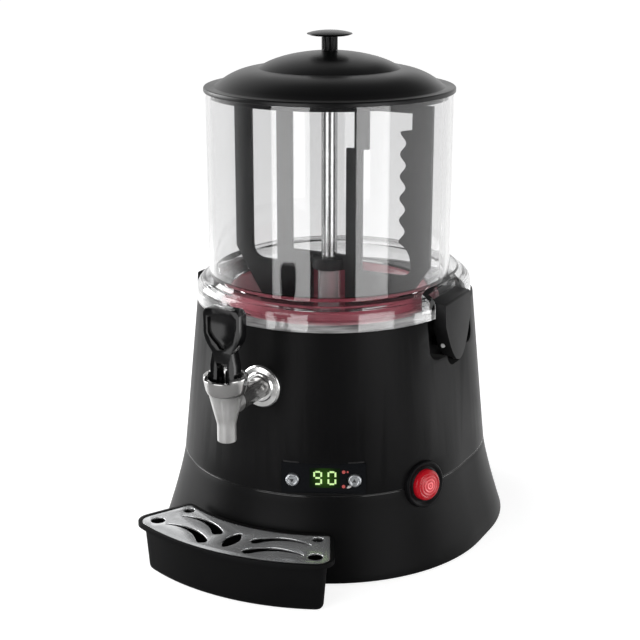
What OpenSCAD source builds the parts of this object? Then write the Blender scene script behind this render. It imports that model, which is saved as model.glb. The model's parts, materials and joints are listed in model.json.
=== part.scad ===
// Heated and stirred sauce dispenser: a clear tank over a heated bowl on a bell-shaped base,
// with a lever tap, a drip tray, a domed lid and a slow stirring paddle.
// Millimetres, +Z up, the tap side faces -Y and the origin is under the middle of the footprint.

/* [Base] */
// Radius of the foot where the skirt meets the table
foot_r = 160; // [156:1:166]
// How far the base is drawn out towards the back
back_stretch = 30; // [22:1:38]
// Height of the seam between the skirt and the cover
seam_z = 77; // [74:1:78]
// Radius of the body at the seam
seam_r = 139.5; // [137:0.5:142]
// Height of the deck that carries the tank
deck_z = 224; // [218:1:230]
// Radius of the cover at the deck
deck_r = 124.6; // [124:0.2:126]
// Thickness of the moulded shells
wall = 3; // [2.6:0.1:3.4]

/* [Tank and lid] */
// Width of the shoulder between the tank wall and the edge of the deck
shoulder_w = 11.6; // [11.2:0.1:12]
// Thickness of the clear wall
tank_wall = 4; // [3.6:0.1:4.4]
// Height of the tank above the deck
tank_h = 193.5; // [180:0.5:210]
// Rise of the lid dome above its rim
dome_rise = 36; // [32:0.5:40]
// Radius of the knob on the lid
knob_r = 20.7; // [17:0.1:24]

/* [Bowl and stirrer] */
// Depth of the bowl floor below the deck
bowl_depth = 20; // [16:1:22]
// Gap between the stirring paddle and the tank wall
paddle_gap = 7.5; // [6:0.5:12]
// Thickness of the paddle
paddle_t = 5; // [3:0.5:6]
// Number of waves on the edge of the paddle
wave_count = 5; // [3:1:7]
// Radius of the drive shaft
shaft_r = 7.5; // [6.5:0.25:8]

/* [Tap] */
// Height of the tap shank
tap_z = 173; // [168:1:178]
// Distance of the spout from the tank axis
tap_reach = 191; // [184:1:196]
// Height of the lever above its pivot
lever_h = 63; // [56:1:70]

/* [Controls] */
// Direction of the control panel, from the front towards the right
panel_angle = 25; // [20:1:30]
// Width of the control panel
panel_w = 75; // [72:1:78]
// Direction of the power switch, from the front towards the right
switch_angle = 65; // [63:1:74]
// Radius of the round panel buttons
button_r = 5.8; // [4.5:0.1:6.2]

/* [Drip tray] */
// Height of the drip tray
tray_h = 48; // [40:1:56]
// Depth of the drip tray from back to front
tray_depth = 61.5; // [58:0.5:66]
// Half the angle that the tray spans
tray_half = 28.5; // [26:0.5:30]

/* [Hidden] */
$fn = 64;
round_fn = 96;

// Gaps: loose beside a moving part, turning on a pin, and between fixed parts
loose = 0.4;
running = 0.05;
snug = 0.02;
eps = 1;

// Colours
black = [0.07, 0.07, 0.075];
dark = [0.04, 0.04, 0.045];
steel = [0.75, 0.76, 0.78];
crimson = [0.6, 0.05, 0.12];
clear_tint = [0.9, 0.93, 0.95, 0.3];
rubber = [0.1, 0.1, 0.1];
board_green = [0.05, 0.3, 0.12];

// Base shape
foot_z = 2;
plate_z = 4;
plate_t = 3;
skirt_steps = 10;
skirt_power = 1.25;
cover_slope = (seam_r - deck_r) / (deck_z - seam_z);
cover_tilt = atan(cover_slope);
function cover_r(z) = deck_r + cover_slope * (deck_z - z);
function skirt_r(z) = seam_r + (foot_r - seam_r) * pow(1 - z / seam_z, skirt_power);

// The tank axis lies ahead of the middle of the footprint
tray_lip = 5.5;
lip_h = 4;
tray_draft = 3.5;
tray_gap = 3.5;
tray_back_r = tray_gap + max(foot_r - tray_lip - tray_draft, skirt_r(tray_h - lip_h));
tray_front_r = tray_back_r + tray_depth;
front_reach = tray_front_r;
back_reach = skirt_r(foot_z) + back_stretch;
axis_y = (front_reach - back_reach) / 2;

// Bowl, tank and lid
tank_r = deck_r - shoulder_w;
tank_bore_r = tank_r - tank_wall;
bowl_rim_r = tank_bore_r - 12;
bowl_rim_z = deck_z + 9.6;
floor_z = deck_z - bowl_depth;
floor_t = 5;
under_z = floor_z - floor_t;
floor_r = tank_r - 40;
deck_hole_r = tank_r - 18;
tank_top_z = deck_z + tank_h;
ledge_z = deck_z + 9;
flange_stretch = back_stretch - 6;
rim_z = tank_top_z;
crown_z = rim_z + dome_rise;
seal_w = 2.6;
seal_drop = 1.2;
seal_gap = 0.6;
ring_low_z = bowl_rim_z + seal_gap;
ring_in_r = bowl_rim_r - 4.4;

// Stirrer
paddle_r = tank_bore_r - paddle_gap;
tower_r = shaft_r + 3.1;
hub_z = deck_z + 27;
hub_t = 10.3;
hub_r = shaft_r + 8.5;
paddle_low_z = floor_z + 5;
paddle_top_z = tank_top_z - 8.5;
bar_t = 7;
outlet_y = 13 - floor_r;

// Tap heights
pivot_z = tap_z + 24;
seat_z = tap_z - 13;
collar_z = tap_z + 13;
spout_low_z = tap_z - 30.6;
shank_r = 9.5;
shank_in_y = 21.8 - cover_r(tap_z);
stem_r = 2;
pin_r = 2;

// Latch places
pin_x = deck_r - 0.1;
pin_z = deck_z - 28;
latch_y = 3.3;
latch_half = 29.8;
latch_bend_z = deck_z - 7;
latch_low_z = deck_z - 45;
pocket_half = latch_half + 13;
pocket_x = pin_x - 15.5;
pocket_low_z = deck_z - 38;
pocket_corner_r = 11;
heel_half = 17;
heel_low_z = deck_z - 49;
notch_half = latch_half + 2;
lug_half = 9;
lug_r = 4;

// Panel and switch places
panel_z = seam_z + 16;
panel_h = 28;
panel_t = 1.6;
panel_sag = cover_r(panel_z) - sqrt(pow(cover_r(panel_z), 2) - pow(panel_w / 2, 2)) + 0.3;
panel_face = panel_sag - panel_t;
button_x = panel_w / 2 - 9.8;
button_drop = -1.5;
bezel_r = 21.5;
bezel_bore = 14.4;

// General helpers

module at_axis() translate([0, axis_y, 0]) children();

// Turns a half profile about the axis at the front, draws it straight back and closes it round
module drawn_out(stretch) {
    rotate([0, 0, 180])
        rotate_extrude(angle = 180, $fn = round_fn) children();
    translate([0, stretch, 0])
        rotate([90, 0, 0])
            linear_extrude(stretch) {
                children();
                mirror([1, 0]) children();
            }
    translate([0, stretch, 0])
        rotate_extrude(angle = 180, $fn = round_fn) children();
}

// Puts a part on the cover at an angle from the front: its -Y faces out, its +Z runs up the slope
module on_cover(angle, z)
    rotate([0, 0, angle])
        translate([0, -cover_r(z), z])
            rotate([-cover_tilt, 0, 0]) children();

// A round bar along Y from one y to another
module bar_y(r, from_y, to_y)
    translate([0, to_y, 0])
        rotate([90, 0, 0]) cylinder(r = r, h = to_y - from_y);

// A round bar along X from one x to another
module bar_x(r, from_x, to_x)
    translate([from_x, 0, 0])
        rotate([0, 90, 0]) cylinder(r = r, h = to_x - from_x);

// A box centred in x and z between two depths
module slab(w, h, from_y, to_y)
    translate([-w / 2, from_y, -h / 2]) cube([w, to_y - from_y, h]);

module both_sides() {
    children();
    mirror([1, 0, 0]) children();
}

// Points along a smooth bend from a to c that leans towards b
function bend(a, b, c, steps) = [for (i = [0:steps])
    let (t = i / steps) (1 - t) * (1 - t) * a + 2 * t * (1 - t) * b + t * t * c];

// Points of an arc about a centre, angles measured from the front (-Y) towards the right
function front_arc(c, r, from, to, steps) = [for (i = [0:steps])
    let (a = from + (to - from) * i / steps) [c[0] + r * sin(a), c[1] - r * cos(a)]];
function front_point(r, a) = [r * sin(a), -r * cos(a)];

// Outline of a ring sector about the front direction with rounded corners
function sector(r_in, r_out, half, rc_in, rc_out) =
    let (turn_out = asin(rc_out / (r_out - rc_out)), turn_in = asin(rc_in / (r_in + rc_in)))
    let (side = concat(
        front_arc(front_point(r_out - rc_out, half - turn_out), rc_out, half - turn_out, half + 90, 6),
        front_arc(front_point(r_in + rc_in, half - turn_in), rc_in, half + 90, half - turn_in + 180, 6)))
    concat(
        front_arc([0, 0], r_out, -(half - turn_out) + 1, half - turn_out - 1, 24),
        side,
        front_arc([0, 0], r_in, half - turn_in - 1, -(half - turn_in) + 1, 24),
        [for (i = [len(side) - 1:-1:0]) [-side[i][0], side[i][1]]]);

// Base

function skirt_outline() = [for (i = [0:skirt_steps])
    let (z = foot_z + (seam_z - foot_z) * i / skirt_steps) [skirt_r(z), z]];
function skirt_inline() = [for (i = [skirt_steps - 1:-1:0])
    let (z = foot_z + (seam_z - foot_z) * i / skirt_steps) [skirt_r(z) - wall, z]];

module skirt_solid()
    drawn_out(back_stretch) polygon(concat([[0, foot_z]], skirt_outline(), [[0, seam_z]]));

// The groove at the top of the skirt makes the seam, and the lip centres the cover
module skirt_profile() {
    groove = 0.9;
    lip_r = seam_r - wall - 1.1;
    lip_t = 2.5;
    lip_h = 8;
    outline = [for (p = skirt_outline()) if (p[1] < seam_z) p];
    polygon(concat(outline, [
        [seam_r, seam_z - groove], [seam_r - 1.2, seam_z - groove], [seam_r - 1.2, seam_z],
        [lip_r, seam_z], [lip_r, seam_z + lip_h], [lip_r - lip_t, seam_z + lip_h],
        [lip_r - lip_t, seam_z - 7]],
        skirt_inline()));
}

boss_h = 24;
boss_r = 7.5;
screw_ring_r = skirt_r(plate_z + plate_t + boss_h) - boss_r + 2.3;
screw_angles = [70, -70];
module at_base_screws()
    for (a = screw_angles) {
        rotate([0, 0, a]) translate([0, -screw_ring_r, 0]) children();
        translate([0, back_stretch, 0])
            rotate([0, 0, 180 + a]) translate([0, -screw_ring_r, 0]) children();
    }

inlet_z = 40;
inlet_w = 27;
inlet_h = 20;
module base_skirt() color(black) at_axis()
    difference() {
        union() {
            drawn_out(back_stretch) skirt_profile();
            intersection() {
                skirt_solid();
                at_base_screws() translate([0, 0, plate_z + plate_t]) cylinder(r = boss_r, h = boss_h);
            }
        }
        at_base_screws() cylinder(r = 2 + running, h = plate_z + plate_t + boss_h - 4);
        switch_hole();
        lip_gap(panel_angle, panel_w + 14);
        lip_gap(switch_angle, 2 * bezel_r + 20);
        translate([0, back_stretch, inlet_z])
            slab(inlet_w + 2 * snug, inlet_h + 2 * snug, seam_r - 20, foot_r + 20);
        skirt_vents();
    }

// A break in the centring lip behind the panel or the switch
module lip_gap(angle, width)
    rotate([0, 0, angle])
        intersection() {
            translate([0, 0, seam_z + 7]) slab(width, 20, -seam_r, 25 - seam_r);
            cylinder(r = seam_r - wall - 0.6, h = 2 * seam_z, $fn = round_fn);
        }

// Air slots on both sides of the mains inlet
module skirt_vents() {
    vent_count = 6;
    vent_step = 4.5;
    for (side = [-1, 1], i = [0:vent_count - 1])
        translate([0, back_stretch, 0])
            rotate([0, 0, 180 + side * (16 + i * vent_step)])
                translate([0, 0, inlet_z]) slab(3.4, 26, -foot_r - 10, 20 - seam_r);
}

module base_plate() color(dark) at_axis()
    difference() {
        translate([0, 0, plate_z])
            drawn_out(back_stretch) square([skirt_r(plate_z + plate_t) - wall - 0.6, plate_t]);
        at_base_screws() cylinder(r = 2.3, h = 20);
        at_feet() cylinder(r = foot_stud_r + snug, h = 20);
        plate_vents();
    }

// A ring of air holes under the motor
module plate_vents() {
    vent_total = 10;
    for (i = [0:vent_total - 1])
        rotate([0, 0, i * 360 / vent_total]) translate([0.41 * foot_r, 0, 0]) cylinder(r = 5, h = 20);
}

foot_stud_r = 3;
foot_x = 0.6 * foot_r;
module at_feet()
    for (x = [-foot_x, foot_x], y = [-foot_x, back_stretch + foot_x]) translate([x, y, 0]) children();

module rubber_feet() color(rubber) at_axis()
    at_feet() {
        cylinder(r1 = 9, r2 = 10, h = plate_z);
        cylinder(r = foot_stud_r, h = plate_z + plate_t + 2);
    }

module base_screws() color(steel) at_axis()
    at_base_screws() {
        translate([0, 0, plate_z - 1.8]) cylinder(r = 4, h = 1.8);
        translate([0, 0, plate_z - 1.8]) cylinder(r = 2, h = 20);
    }

// The mains inlet at the back, with its surround fitted to the curve of the skirt
module power_inlet() color(dark) at_axis()
    difference() {
        union() {
            difference() {
                translate([0, back_stretch, inlet_z])
                    slab(inlet_w + 7, inlet_h + 7, seam_r, skirt_r(inlet_z - 14) + 1);
                skirt_solid();
            }
            translate([0, back_stretch, inlet_z])
                slab(inlet_w, inlet_h, seam_r - 16, skirt_r(inlet_z - 14) + 1);
        }
        difference() {
            translate([0, back_stretch, inlet_z])
                slab(inlet_w - 5, inlet_h - 5, seam_r - 8, foot_r + 20);
            translate([0, back_stretch, inlet_z])
                for (x = [-7, 0, 7]) translate([x, 0, x == 0 ? 3 : -2]) slab(2, 4, seam_r - 10, seam_r + 6);
        }
    }

// Cover with its deck, latch pockets, panel recess and tap hole

module cover_solid(grow = 0)
    drawn_out(back_stretch)
        polygon([[0, seam_z], [seam_r + grow, seam_z], [deck_r + grow, deck_z], [0, deck_z]]);

module cover_profile()
    polygon([[seam_r, seam_z], [deck_r, deck_z], [0, deck_z], [0, deck_z - wall],
        [cover_r(deck_z - wall) - wall, deck_z - wall], [seam_r - wall, seam_z]]);

// A side outline in Y and Z drawn out along X
module along_x(from_x, to_x)
    translate([from_x, 0, 0])
        rotate([90, 0, 90]) linear_extrude(to_x - from_x) children();

// A hollow with round lower corners in a side outline, open at the deck
module hollow_outline(half, low_z, corner_r) {
    translate([-half, low_z + corner_r]) square([2 * half, deck_z + 10 - low_z - corner_r]);
    translate([corner_r - half, low_z]) square([2 * (half - corner_r), 2 * corner_r]);
    for (side = [-1, 1])
        translate([side * (half - corner_r), low_z + corner_r]) circle(r = corner_r);
}

// The pocket behind a latch, with a narrower room below for its heel to swing in
module latch_space(grow)
    along_x(pocket_x - grow, pocket_x + 40)
        translate([latch_y, 0]) {
            hollow_outline(pocket_half + grow, pocket_low_z - grow, pocket_corner_r + grow);
            hollow_outline(heel_half + grow, heel_low_z - grow, pocket_corner_r + grow);
        }

module latch_lug()
    translate([0, latch_y + lug_half, pin_z])
        rotate([90, 0, 0])
            linear_extrude(2 * lug_half)
                difference() {
                    union() {
                        translate([pocket_x - wall + eps / 2, -lug_r])
                            square([pin_x - pocket_x + wall - eps / 2, 2 * lug_r]);
                        translate([pin_x, 0]) circle(r = lug_r);
                    }
                    translate([pin_x, 0]) circle(r = pin_r + running);
                }

module switch_hole()
    on_cover(switch_angle, seam_z) {
        bar_y(bezel_r + 0.2, -20, 40);
        bar_y(bezel_r + 4, 5.4, 40);
    }

window_w = panel_w - 4.6;
window_h = panel_h - 5;
module body_cover() color(black) at_axis() {
    difference() {
        union() {
            drawn_out(back_stretch) cover_profile();
            intersection() {
                cover_solid();
                union() {
                    both_sides() latch_space(wall);
                    on_cover(panel_angle, panel_z)
                        slab(panel_w + 10, panel_h + 8, -20, panel_sag + wall);
                }
            }
        }
        cylinder(r = deck_hole_r, h = 2 * deck_z);
        both_sides() latch_space(0);
        on_cover(panel_angle, panel_z) {
            slab(panel_w + 0.4, panel_h + 0.4, -30, panel_sag);
            slab(window_w, window_h, -30, 30);
        }
        switch_hole();
        translate([0, 0, tap_z]) bar_y(shank_r + 0.3, -seam_r - 20, 25 - deck_r);
    }
    both_sides() latch_lug();
}

// Heating bowl and what hangs under it

// A deep bowl whose raised rim stands on the deck and carries the seal in a groove
groove_out_r = bowl_rim_r - 1;
groove_in_r = groove_out_r - seal_w;
module heating_bowl() color(crimson) at_axis()
    difference() {
        rotate_extrude($fn = round_fn)
            polygon([[tower_r + snug, under_z], [floor_r + 2, under_z],
                [bowl_rim_r - 6, deck_z], [bowl_rim_r + 3.5, deck_z], [bowl_rim_r + 3.5, deck_z + 2.5],
                [bowl_rim_r, deck_z + 2.5], [bowl_rim_r, bowl_rim_z - 0.6], [bowl_rim_r - 0.6, bowl_rim_z],
                [groove_out_r, bowl_rim_z], [groove_out_r, bowl_rim_z - seal_drop],
                [groove_in_r, bowl_rim_z - seal_drop], [groove_in_r, bowl_rim_z],
                [bowl_rim_r - 5, bowl_rim_z], [bowl_rim_r - 6.5, bowl_rim_z - 1.2],
                [floor_r + 3, floor_z + 3], [floor_r, floor_z], [tower_r + snug, floor_z]]);
        translate([0, outlet_y, under_z - eps]) cylinder(r = 6, h = 2 * floor_t);
    }

module tank_seal() color(crimson) at_axis()
    translate([0, 0, bowl_rim_z - seal_drop + snug])
        rotate_extrude($fn = round_fn)
            translate([groove_in_r + running, 0])
                square([seal_w - 2 * running, seal_drop + seal_gap - 2 * snug]);

heater_in_r = 0.36 * floor_r;
heater_out_r = 0.66 * floor_r;
module heater_ring() color(steel) at_axis()
    translate([0, 0, under_z - 8])
        rotate_extrude($fn = round_fn)
            polygon([[heater_in_r + 1, 0], [heater_out_r - 1, 0], [heater_out_r, 1], [heater_out_r, 8],
                [heater_in_r, 8], [heater_in_r, 1]]);

module temperature_probe() color(steel) at_axis()
    translate([0, -outlet_y, 0]) {
        translate([0, 0, under_z - 22]) cylinder(r = 3, h = 22);
        translate([0, 0, under_z - 5]) cylinder(r = 7, h = 5, $fn = 6);
    }

// The flanged tower stands on the bowl floor and is clamped from below
module bearing_tower() color(steel) at_axis()
    rotate_extrude()
        polygon([[shaft_r + running, under_z - 12], [tower_r, under_z - 12], [tower_r, floor_z],
            [tower_r + 7, floor_z], [tower_r + 7, floor_z + 2], [tower_r, floor_z + 3],
            [tower_r, hub_z - 1.4], [tower_r - 1, hub_z - loose], [shaft_r + running, hub_z - loose]]);

module tower_nut() color(steel) at_axis()
    translate([0, 0, under_z - 9])
        difference() {
            cylinder(r = tower_r + 5, h = 9, $fn = 6);
            translate([0, 0, -eps]) cylinder(r = tower_r + snug, h = 12);
        }

// Drive

gear_top_z = deck_z - 74;
gear_h = 32;
can_h = 60;
stand_t = 3;
stand_screw_r = 22;
output_r = 5;
module gear_motor() color(steel) at_axis()
    difference() {
        union() {
            translate([0, 0, gear_top_z - gear_h]) cylinder(r = 34, h = gear_h);
            translate([0, 0, gear_top_z - gear_h - can_h]) cylinder(r = 26, h = can_h);
        }
        translate([0, 0, gear_top_z - 6]) cylinder(r = output_r + running, h = 10);
        for (i = [0:2])
            rotate([0, 0, i * 120])
                translate([stand_screw_r, 0, gear_top_z - 9]) cylinder(r = 2 + snug, h = 20);
    }

module motor_stand() color(steel) at_axis() {
    leg_ring = 42;
    leg_r = 5;
    difference() {
        translate([0, 0, gear_top_z]) cylinder(r = leg_ring + leg_r + 2, h = stand_t);
        cylinder(r = 13, h = 2 * deck_z);
        for (i = [0:2])
            rotate([0, 0, i * 120]) translate([stand_screw_r, 0, 0]) cylinder(r = 2.3, h = 2 * deck_z);
    }
    for (i = [0:2])
        rotate([0, 0, 60 + i * 120])
            translate([leg_ring, 0, plate_z + plate_t])
                cylinder(r = leg_r, h = gear_top_z + stand_t / 2 - plate_z - plate_t);
}

module motor_screws() color(steel) at_axis()
    for (i = [0:2])
        rotate([0, 0, i * 120])
            translate([stand_screw_r, 0, gear_top_z - 8]) {
                cylinder(r = 2, h = 8 + stand_t + 1);
                translate([0, 0, 8 + stand_t]) cylinder(r = 3.8, h = 2.4);
            }

module motor_output() color(steel) at_axis()
    translate([0, 0, gear_top_z - 5.5]) cylinder(r = output_r, h = 17.5);

coupling_z = gear_top_z + stand_t + 2;
module shaft_coupling() color(steel) at_axis()
    translate([0, 0, coupling_z])
        difference() {
            cylinder(r = shaft_r + 3.5, h = 24);
            translate([0, 0, -eps]) cylinder(r = output_r + snug, h = 9);
            translate([0, 0, 9]) cylinder(r = shaft_r + snug, h = 20);
        }

shaft_top_z = paddle_top_z - bar_t;
module drive_shaft() color(steel) at_axis()
    difference() {
        translate([0, 0, coupling_z + 9]) cylinder(r = shaft_r, h = shaft_top_z - coupling_z - 9);
        translate([0, 0, shaft_top_z - 14]) cylinder(r = 2.5 + snug, h = 20);
    }

// Stirring paddle: one flat plate with three windows, a waved edge and cut lower corners

inner_left = -39.3;
inner_right = 18.3;
step_up = 8.2;
step_z = paddle_top_z - 43;
inner_bar = 15.6;
outer_bar = 18.4;
side_low_z = floor_z + 48;
centre_low_z = hub_z + hub_t + 3.5;
corner_z = paddle_low_z + 53;
corner_in = 34;
bar_low_z = paddle_top_z - bar_t;

// The waved inner edge of the right outer bar, from its lower end to its upper end
wave_r = paddle_r - 26.8;
wave_low_z = side_low_z + 32;
wave_high_z = paddle_top_z - 24;
wave_depth = 2.9;
wave_steps = 8;
function wave_edge() = [for (i = [0:wave_count * wave_steps])
    let (t = i / (wave_count * wave_steps))
    [wave_r - wave_depth * cos(360 * wave_count * t), wave_low_z + (wave_high_z - wave_low_z) * t]];

tower_slot_x = tower_r + 7;
module paddle_outline()
    polygon([[corner_in - paddle_r, paddle_low_z], [-tower_slot_x, paddle_low_z],
        [-tower_slot_x, hub_z], [tower_slot_x, hub_z], [tower_slot_x, paddle_low_z],
        [paddle_r - corner_in, paddle_low_z], [paddle_r, corner_z], [paddle_r, paddle_top_z],
        [-paddle_r, paddle_top_z], [-paddle_r, corner_z]]);

module left_window()
    polygon(concat(
        [[inner_left - inner_bar, side_low_z], [inner_left - inner_bar, bar_low_z],
            [outer_bar - paddle_r, bar_low_z]],
        bend([outer_bar - paddle_r, corner_z + 4], [outer_bar - paddle_r, side_low_z],
            [outer_bar - paddle_r + 15, side_low_z], 6)));

module centre_window()
    polygon([[inner_left, centre_low_z], [inner_right, centre_low_z], [inner_right, step_z],
        [inner_right + step_up, step_z], [inner_right + step_up, bar_low_z], [inner_left, bar_low_z]]);

module right_window()
    polygon(concat(
        [[inner_right + inner_bar, side_low_z]],
        bend([paddle_r - 30, side_low_z], [paddle_r - 15, side_low_z], [paddle_r - 18, side_low_z + 14], 6),
        bend([paddle_r - 19, side_low_z + 19], [paddle_r - 22, side_low_z + 28],
            [wave_r - wave_depth, wave_low_z - 1], 6),
        wave_edge(),
        [[paddle_r - outer_bar, wave_high_z + 2], [paddle_r - outer_bar, bar_low_z],
            [inner_right + step_up + 13.6, bar_low_z], [inner_right + step_up + 13.6, step_z],
            [inner_right + inner_bar, step_z]]));

module stirring_paddle() color(black) at_axis()
    difference() {
        union() {
            translate([0, paddle_t / 2, 0])
                rotate([90, 0, 0])
                    linear_extrude(paddle_t)
                        difference() {
                            paddle_outline();
                            left_window();
                            centre_window();
                            right_window();
                        }
            translate([0, 0, hub_z]) cylinder(r = hub_r, h = hub_t);
        }
        translate([0, 0, hub_z - eps]) cylinder(r = shaft_r + snug, h = hub_t + 10);
        translate([0, 0, bar_low_z - eps]) cylinder(r = 2.4, h = 2 * bar_t);
    }

module paddle_screw() color(steel) at_axis()
    translate([0, 0, bar_low_z - 12]) {
        cylinder(r = 2.3, h = bar_t + 13);
        translate([0, 0, bar_t + 12]) cylinder(r = 4.6, h = 2.2);
    }

// Tank with a hollow drawn-out shoulder that stands on the deck along its outer edge

shoulder_skin = 3.8;
shoulder_top_z = deck_z + 27;

// The outer shape of the shoulder, drawn in by the thickness of its skin for the hollow inside it
module shoulder(inset = 0)
    drawn_out(flange_stretch)
        polygon(concat(
            [[0, deck_z - inset], [deck_r - inset, deck_z - inset]],
            bend([deck_r - inset, deck_z + 10], [deck_r - inset, deck_z + 19 - inset],
                [tank_r + 3.6, deck_z + 22 - inset], 6),
            [[tank_r - 2, shoulder_top_z - inset], [0, shoulder_top_z - inset]]));

// The straight wall runs down into a sloping ring whose foot rests over the bowl's rim
ring_rise = 2.2;
ring_top_z = deck_z + 28;
module tank_wall_ring()
    rotate_extrude($fn = round_fn)
        polygon([[ring_in_r, ring_low_z], [ring_in_r + 4, ring_low_z],
            [tank_r - 1, ring_top_z - tank_wall], [tank_r, ring_top_z - tank_wall], [tank_r, tank_top_z],
            [tank_bore_r, tank_top_z], [tank_bore_r, ring_top_z], [ring_in_r, ring_low_z + ring_rise]]);

module tank_bore()
    rotate_extrude($fn = round_fn)
        polygon([[0, deck_z - eps], [ring_in_r, deck_z - eps], [ring_in_r, ring_low_z + ring_rise],
            [tank_bore_r, ring_top_z], [tank_bore_r, tank_top_z + eps], [0, tank_top_z + eps]]);

seat_h = 0.4;
catch_x = pin_x - 5.9;
lip_reach = 4;
module tank() color(clear_tint) at_axis()
    difference() {
        union() {
            difference() {
                shoulder();
                shoulder(shoulder_skin);
                tank_bore();
            }
            intersection() {
                shoulder();
                both_sides() latch_block();
            }
            tank_wall_ring();
        }
        both_sides() latch_notch();
    }

// A block in the hollow of the shoulder that closes it round the latch and carries the ledge
block_in_x = catch_x - 10;
module latch_block()
    translate([block_in_x, latch_y - notch_half - shoulder_skin, deck_z + seat_h])
        cube([40, 2 * (notch_half + shoulder_skin), 80]);

// The cut in the shoulder that leaves a ledge for the latch to press on
module latch_notch() {
    translate([catch_x, latch_y - notch_half, deck_z - eps]) cube([40, 2 * notch_half, 80]);
    translate([catch_x - lip_reach - loose, latch_y - notch_half, ledge_z]) cube([40, 2 * notch_half, 80]);
}

// Latches

module latch_right() color(black) at_axis() translate([0, latch_y, 0]) latch();
module latch_left() color(black) at_axis() translate([0, latch_y, 0]) mirror([1, 0, 0]) latch();

// Outline of a latch seen from its side of the body: straight flanks that close to a round foot
shield_steps = 12;
function shield_half(z) = latch_half * sqrt((z - latch_low_z) / (latch_bend_z - latch_low_z));
function shield_side(side) = [for (i = [0:shield_steps])
    let (t = 1 - i / shield_steps)
    [side * latch_half * t, latch_low_z + (latch_bend_z - latch_low_z) * t * t]];
module shield(top_z) {
    left = shield_side(-1);
    polygon(concat([[latch_half, top_z]], shield_side(1),
        [for (i = [shield_steps - 1:-1:0]) left[i]], [[-latch_half, top_z]]));
}

module latch() {
    out_top = deck_r + 5.4;
    out_low = cover_r(latch_low_z) + 4.2;
    lip_t = 6;
    lip_z = ledge_z + loose;
    in_x = catch_x + loose;
    slot_x = pin_x + lug_r + loose;
    difference() {
        intersection() {
            translate([0, latch_half + eps, 0])
                rotate([90, 0, 0])
                    linear_extrude(2 * (latch_half + eps))
                        polygon([[catch_x - lip_reach, lip_z], [catch_x - lip_reach, lip_z + lip_t - 0.8],
                            [catch_x - lip_reach + 0.8, lip_z + lip_t], [out_top - 1.5, lip_z + lip_t - 2],
                            [out_top, lip_z + lip_t - 3.5], [out_low, latch_low_z - eps],
                            [in_x + 6, latch_low_z - eps], [in_x, pin_z - 4], [in_x, lip_z]]);
            along_x(catch_x - lip_reach - eps, out_low + eps) shield(lip_z + lip_t + eps);
        }
        translate([0, 0, pin_z - 7])
            slab(2 * slot_x, 27, -lug_half - loose, lug_half + loose);
        translate([pin_x, 0, pin_z]) bar_y(pin_r + snug, -40, 40);
    }
}

module latch_pin_right() color(steel) at_axis() translate([0, latch_y, 0]) latch_pin();
module latch_pin_left() color(steel) at_axis() translate([0, latch_y, 0]) mirror([1, 0, 0]) latch_pin();
module latch_pin()
    translate([pin_x, 0, pin_z]) bar_y(pin_r, -shield_half(pin_z) - 0.6, shield_half(pin_z) + 0.6);

// Lid

brim_r = tank_r - 9;
crease_r = tank_r - 48;
lid_skin = 3;
brim = [brim_r, rim_z + 5];
crease = [crease_r, rim_z + 0.57 * dome_rise];
function lid_top() = concat(
    bend(brim, [(brim_r + crease_r) / 2 + 3, rim_z + 0.54 * dome_rise], crease, 10),
    bend(crease, [0.7 * crease_r, rim_z + 0.93 * dome_rise], [0, crown_z], 10));
module lid_shell() color(black) at_axis() {
    skirt_out = tank_bore_r - 0.5;
    skirt_in = skirt_out - 2.5;
    top = lid_top();
    difference() {
        rotate_extrude($fn = round_fn)
            polygon(concat(
                [[skirt_in, rim_z - 4.5], [skirt_out, rim_z - 4.5], [skirt_out, rim_z],
                    [tank_r + 1.9, rim_z], [tank_r + 1.9, rim_z + 3.4], [tank_r + 0.9, rim_z + 4.4],
                    [brim_r + 1.5, rim_z + 4.4]],
                top,
                [for (i = [len(top) - 1:-1:1])
                    if (top[i][0] < skirt_in - 2) [top[i][0], top[i][1] - lid_skin]],
                [[skirt_in, rim_z + 1.5]]));
        cylinder(r = 2.7, h = 2 * crown_z);
    }
}

knob_top_z = crown_z + 17.7;
stem_h = 12.3;
knob_stem_r = 7.3;
module lid_knob() color(black) at_axis()
    difference() {
        translate([0, 0, crown_z])
            rotate_extrude()
                polygon(concat(
                    [[0, 0.05], [knob_stem_r, 0.05], [knob_stem_r, stem_h],
                        [knob_r - 3, stem_h + 0.8], [knob_r, stem_h + 2]],
                    bend([knob_r - 0.4, stem_h + 2.7], [knob_r * 0.6, knob_top_z - crown_z],
                        [0, knob_top_z - crown_z], 8)));
        translate([0, 0, crown_z - eps]) cylinder(r = 2.5 + snug, h = stem_h);
        knob_flutes();
    }

// Upright flutes round the knob's stem
module knob_flutes() {
    flute_total = 10;
    for (i = [0:flute_total - 1])
        rotate([0, 0, i * 360 / flute_total])
            translate([knob_stem_r + 0.6, 0, crown_z + 0.8]) cylinder(r = 1.4, h = stem_h - 1.6);
}

module lid_screw() color(steel) at_axis()
    translate([0, 0, crown_z - lid_skin - 3.4]) {
        cylinder(r = 5, h = 2.4);
        cylinder(r = 2.5, h = 2.4 + lid_skin + stem_h - 2);
    }

// Control panel and switch

module control_panel() color(dark) at_axis()
    on_cover(panel_angle, panel_z)
        difference() {
            slab(panel_w, panel_h, panel_face, panel_sag);
            translate([display_x, 0, 0]) slab(display_w + 2 * snug, display_h + 2 * snug, -10, 20);
            for (x = [-button_x, button_x])
                translate([x, 0, button_drop]) bar_y(button_r + loose, -10, 20);
            at_leds() bar_y(led_r + snug, -10, 20);
        }

display_x = 1.1;
display_w = 27;
display_h = 18;
module display_window() color([0.02, 0.03, 0.02]) at_axis()
    on_cover(panel_angle, panel_z)
        translate([display_x, 0, 0]) slab(display_w, display_h, panel_face, panel_sag);

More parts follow.
